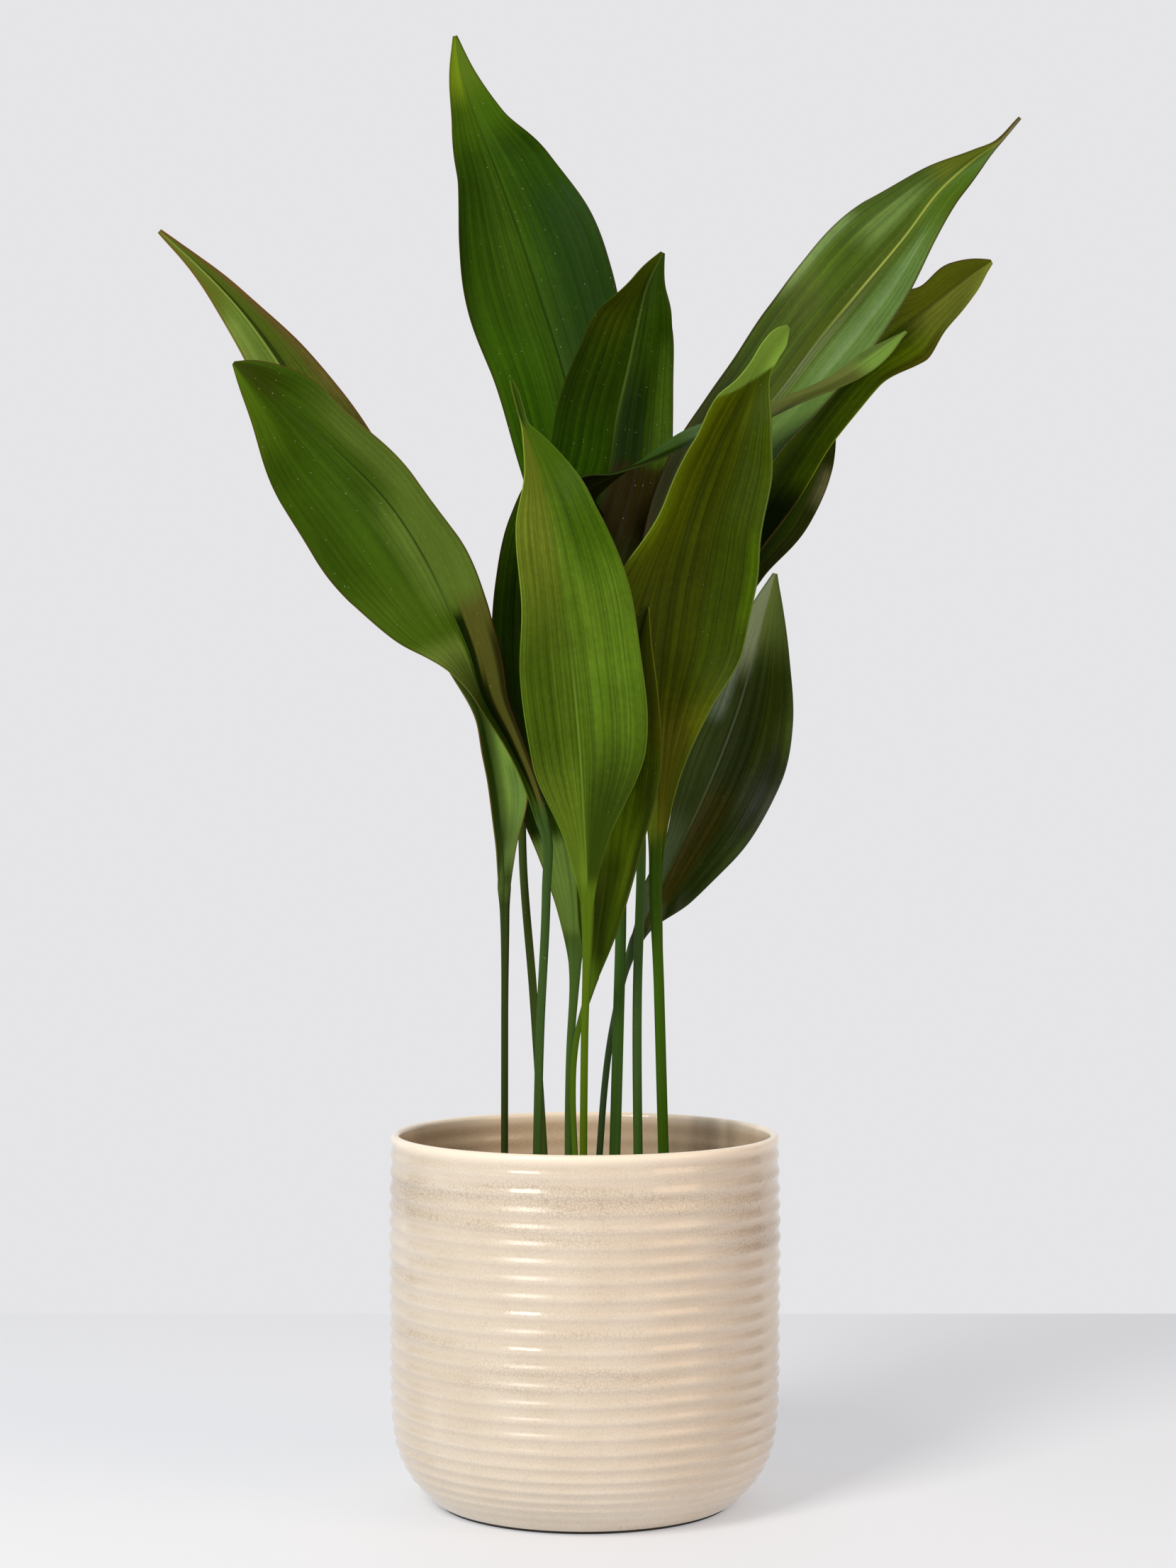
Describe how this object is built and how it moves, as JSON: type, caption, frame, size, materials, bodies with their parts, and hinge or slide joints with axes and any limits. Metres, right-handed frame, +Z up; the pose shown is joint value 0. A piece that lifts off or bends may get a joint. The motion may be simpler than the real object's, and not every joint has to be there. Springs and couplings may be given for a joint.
{
  "type": "potted cast iron plant",
  "caption": "Indoor foliage plant with long stalked, pleated blades rising from soil in a ribbed, round stoneware pot with a narrow foot.",
  "frame": {"origin": "centre of the pot's flat foot, on the floor", "axes": "+Z up out of the pot; the side with the bright leaf, which the picture shows, faces -Y; +X to the right of that view"},
  "size_m": [0.4744, 0.212, 0.8048],
  "materials": {
    "glazed_stoneware": "glossy warm beige crackle glaze over thrown ribs, unglazed foot",
    "potting_soil": "dark brown, crumbly, matte",
    "leaf_bright_green": "satin, bright yellow-green with pale midrib and fine parallel veins",
    "leaf_mid_green": "satin, mid green with pale midrib and fine parallel veins",
    "leaf_olive_green": "satin, olive green with pale edge line and fine parallel veins",
    "leaf_deep_green": "glossy, deep green with pale midrib and fine parallel veins",
    "leaf_dark_green": "glossy, very dark green with fine parallel veins"
  },
  "bodies": {
    "root": {"pot": "glazed_stoneware", "soil": "potting_soil", "leaf_front_bright": "leaf_bright_green", "leaf_front_short": "leaf_mid_green", "leaf_front_olive": "leaf_olive_green", "leaf_arching": "leaf_olive_green", "leaf_back_centre": "leaf_dark_green", "leaf_back_tall": "leaf_deep_green", "leaf_right_glossy": "leaf_deep_green", "leaf_right_yellow": "leaf_mid_green", "leaf_right_dark": "leaf_dark_green", "leaf_low_right": "leaf_dark_green", "leaf_left_broad": "leaf_mid_green", "leaf_left_folded": "leaf_mid_green", "leaf_centre_dark": "leaf_dark_green"}
  },
  "joints": []
}
